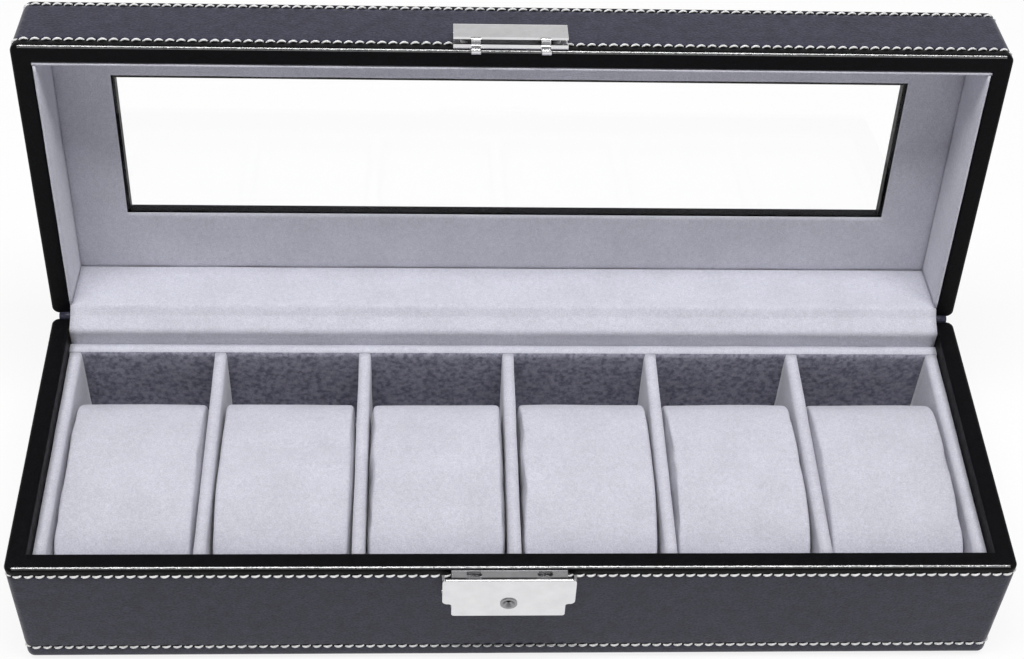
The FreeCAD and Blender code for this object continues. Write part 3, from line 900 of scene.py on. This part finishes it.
def make_hinge_velvet():
    inner = node_box("base_back_liner")[1].y + VELVET / 2
    lid_inner = closed_box("lid_back_board")[0].y - VELVET / 2
    low, high = node_box("hinge_velvet")
    hollow = closed_box("window_liner")[0].z
    crease = LEATHER + (hinge_place.y - half_depth) + VELVET
    slope = math.pi - open_angle / 2
    fold = hinge_place.yz + crease * Vector((math.cos(slope), math.sin(slope)))
    points = [
        (inner, low.z),
        (inner, base_height - VELVET / 2),
        tuple(fold),
        opened_point(lid_inner, lid_low.z + VELVET / 2),
        opened_point(lid_inner, hollow),
    ]

    def ripple(x, place):
        near = math.exp(-((place - hinge_place.yz).length / FLAP_REACH) ** 2)
        across = place * FLAP_CROSS_WAVE
        wave = noise.noise(Vector((x * FLAP_WAVE, across.x, across.y)))
        return (FLAP_RIPPLE + FLAP_FOLD_RIPPLE * near) * wave

    obj = hinge_sheet("hinge_velvet_flap", points, FLAP_BEND, VELVET, high.x, velvet, ripple)
    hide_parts("hinge_velvet")
    blend_over_hinge(obj)


# Leaf spring

def make_leaf_spring():
    """The latch's spring, cut finely between its foot on the back plate and its seat on the press plate,
    where the real leaf bends.
    """
    node = "lock_spring"
    low = node_box(node)[0]
    foot = low.z + SPRING_FOOT
    seat = foot + SPRING_LEAF
    builder = bmesh.new()
    builder.from_mesh(frame["nodes"][node].data)
    bmesh.ops.remove_doubles(builder, verts=builder.verts, dist=SAME_PLACE)
    cut_by_planes(builder, 2, spaced(foot, seat, SPRING_STEP))
    obj = new_piece("latch_leaf_spring", builder, steel)
    obj.data.set_sharp_from_angle(angle=SHARP_ANGLE)
    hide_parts(node)
    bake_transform(obj)


# Stitching

def heading(angle):
    """The level direction at an angle, and the one to its right."""
    run = Vector((math.cos(angle), math.sin(angle), 0))
    return run, Vector((run.y, -run.x, 0))


def rounded_route(half_x, half_y, radius):
    """Function from distance along a rounded rectangle to its place and outward normal, and its length."""
    spans = (2 * (half_x - radius), 2 * (half_y - radius))
    corner = radius * math.pi / 2
    length = 2 * sum(spans) + 4 * corner

    def at(distance):
        distance %= length
        place = Vector((radius - half_x, -half_y, 0))
        for side in range(4):
            turn = side * math.pi / 2
            run, out = heading(turn)
            span = spans[side % 2]
            if distance <= span:
                return place + run * distance, out
            distance -= span
            hub = place + run * span - out * radius
            if distance <= corner:
                out = heading(turn + distance / radius)[1]
                return hub + out * radius, out
            distance -= corner
            place = hub + run * radius
        return place, out

    return at, length


def add_stitch(builder, start, end, out):
    """One bowed dash of thread whose ends dive into the leather."""
    run = end - start
    aside = run.cross(out).normalized()
    rings = []
    for i in range(THREAD_STEPS + 1):
        share = i / THREAD_STEPS
        arch = math.sin(math.pi * share)
        rise = THREAD_RADIUS * (THREAD_RISE * arch - THREAD_SINK)
        drop = STITCH_SLANT * (1 - 2 * share) + STITCH_BOW * (0.5 - arch)
        centre = start + run * share + out * rise + aside * drop
        girth = THREAD_RADIUS * (THREAD_TIP + (1 - THREAD_TIP) * math.sqrt(arch))
        ring = []
        for k in range(THREAD_SIDES):
            angle = 2 * math.pi * k / THREAD_SIDES
            spoke = math.cos(angle) * out + math.sin(angle) * aside
            ring.append(builder.verts.new(centre + girth * spoke))
        rings.append(ring)
    grid_faces(builder, rings, closed_columns=True)
    builder.faces.new(rings[0])
    builder.faces.new(list(reversed(rings[-1])))


def stitch_row(builder, half_x, half_y, z, face_up=False):
    """A row of stitches round a rounded rectangle at height z, on its walls or on a face that looks up."""
    at, length = rounded_route(half_x, half_y, CORNER_RADIUS)
    count = round(length / STITCH_PITCH)
    rise = Vector((0, 0, z))
    for i in range(count):
        begin, out = at(length * i / count)
        finish, out_end = at(length * i / count + STITCH_DASH)
        facing = Vector((0, 0, 1)) if face_up else (out + out_end).normalized()
        add_stitch(builder, begin + rise, finish + rise, facing)


def make_stitching():
    base = bmesh.new()
    for row in base_rows:
        stitch_row(base, half_length, half_depth, row)
    lid = bmesh.new()
    for row in lid_rows:
        stitch_row(lid, half_length, half_depth, row)
    window_x = glass_high.x + WINDOW_ROW_MARGIN
    window_y = glass_high.y + WINDOW_ROW_MARGIN
    stitch_row(lid, window_x, window_y, lid_high.z, face_up=True)
    bmesh.ops.transform(lid, matrix=to_open, verts=lid.verts)
    for name, builder, body in (("base_stitching", base, "base"), ("lid_stitching", lid, "lid")):
        bmesh.ops.recalc_face_normals(builder, faces=builder.faces)
        obj = new_piece(name, builder, thread)
        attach(obj, body)


# Stage

def any_ray(tree, *names):
    """A value of 1 for the kinds of ray that are named, and 0 for the others."""
    rays = tree.nodes.new("ShaderNodeLightPath")
    value = rays.outputs[names[0]]
    for name in names[1:]:
        larger = tree.nodes.new("ShaderNodeMath")
        larger.operation = "MAXIMUM"
        tree.links.new(value, larger.inputs[0])
        tree.links.new(rays.outputs[name], larger.inputs[1])
        value = larger.outputs["Value"]
    return value


def mixed(tree, factor, first, second):
    node = tree.nodes.new("ShaderNodeMixShader")
    tree.links.new(factor, node.inputs["Fac"])
    tree.links.new(first, node.inputs[1])
    tree.links.new(second, node.inputs[2])
    return node.outputs["Shader"]


def make_floor():
    """Pale floor that looks white, and still takes the object's shadow."""
    builder = bmesh.new()
    bmesh.ops.create_grid(builder, x_segments=1, y_segments=1, size=FLOOR_SIZE)
    material, shader = new_material("pale_floor", shade(WHITE, 0.9), roughness=0.8)
    tree = material.node_tree
    white = tree.nodes.new("ShaderNodeEmission")
    share = tree.nodes.new("ShaderNodeMath")
    share.operation = "MULTIPLY"
    share.inputs[1].default_value = FLOOR_WHITE
    seen = any_ray(tree, "Is Camera Ray", "Is Glossy Ray", "Is Transmission Ray")
    tree.links.new(seen, share.inputs[0])
    surface = mixed(tree, share.outputs["Value"], shader.outputs["BSDF"], white.outputs["Emission"])
    tree.links.new(surface, tree.nodes["Material Output"].inputs["Surface"])
    floor = new_piece("floor", builder, material)


def make_light(name, place, target, size, energy):
    data = bpy.data.lights.new(name, "AREA")
    data.shape = "RECTANGLE"
    data.size = size[0]
    data.size_y = size[1]
    data.energy = energy
    lamp = bpy.data.objects.new(name, data)
    bpy.context.scene.collection.objects.link(lamp)
    lamp.location = place
    lamp.rotation_euler = (Vector(target) - Vector(place)).to_track_quat("-Z", "Y").to_euler()


def background(tree, strength):
    node = tree.nodes.new("ShaderNodeBackground")
    node.inputs["Color"].default_value = (*WHITE, 1.0)
    node.inputs["Strength"].default_value = strength
    return node


def sky_colour(tree, overhead, turn):
    """White round the horizon, turning to grey overhead from the height that turn gives as a sine."""
    direction = tree.nodes.new("ShaderNodeTexCoord")
    split = tree.nodes.new("ShaderNodeSeparateXYZ")
    tree.links.new(direction.outputs["Generated"], split.inputs["Vector"])
    grey = (turn + TURN_WIDTH, shade(WHITE, overhead))
    return colour_ramp(tree, split.outputs["Z"], start=(turn, WHITE), end=grey)


def make_world():
    """White to the eye and through glass, a pale room in metal, and a soft low sky for light."""
    world = bpy.data.worlds.new("studio")
    bpy.context.scene.world = world
    world.use_nodes = True
    tree = world.node_tree
    light = background(tree, SKY_STRENGTH)
    tree.links.new(sky_colour(tree, SKY_OVERHEAD, SKY_TURN), light.inputs["Color"])
    room = background(tree, 1.0)
    tree.links.new(sky_colour(tree, ROOM_OVERHEAD, ROOM_TURN), room.inputs["Color"])
    white = background(tree, 1.0)
    in_gloss = any_ray(tree, "Is Glossy Ray")
    lit = mixed(tree, in_gloss, light.outputs["Background"], room.outputs["Background"])
    to_eye = any_ray(tree, "Is Camera Ray", "Is Transmission Ray")
    seen = mixed(tree, to_eye, lit, white.outputs["Background"])
    tree.links.new(seen, tree.nodes["World Output"].inputs["Surface"])


def make_camera():
    forward = Vector((math.sin(CAMERA_YAW), math.cos(CAMERA_YAW), 0))
    ahead = forward * math.cos(CAMERA_PITCH) - Vector((0, 0, math.sin(CAMERA_PITCH)))
    level = Vector((math.cos(CAMERA_YAW), -math.sin(CAMERA_YAW), 0))
    upright = level.cross(ahead)
    right = level * math.cos(CAMERA_ROLL) + upright * math.sin(CAMERA_ROLL)
    up = upright * math.cos(CAMERA_ROLL) - level * math.sin(CAMERA_ROLL)
    data = bpy.data.cameras.new("photo_camera")
    data.sensor_fit = "HORIZONTAL"
    data.sensor_width = CAMERA_SENSOR
    data.lens = CAMERA_LENS
    data.clip_start = CAMERA_NEAR
    camera = bpy.data.objects.new("photo_camera", data)
    bpy.context.scene.collection.objects.link(camera)
    turn = Matrix((right, up, -ahead)).transposed().to_4x4()
    camera.matrix_world = Matrix.Translation(CAMERA_PLACE) @ turn
    bpy.context.scene.camera = camera


dress_cad_nodes()
for pillow_number in range(1, 7):
    make_pillow(pillow_number)
make_panels()
make_hinge_leather()
make_hinge_velvet()
make_leaf_spring()
make_stitching()
make_floor()
make_light("overhead", KEY_PLACE, KEY_TARGET, KEY_SIZE, KEY_WATTS)
make_world()
make_camera()
bpy.context.scene.view_settings.view_transform = "Standard"
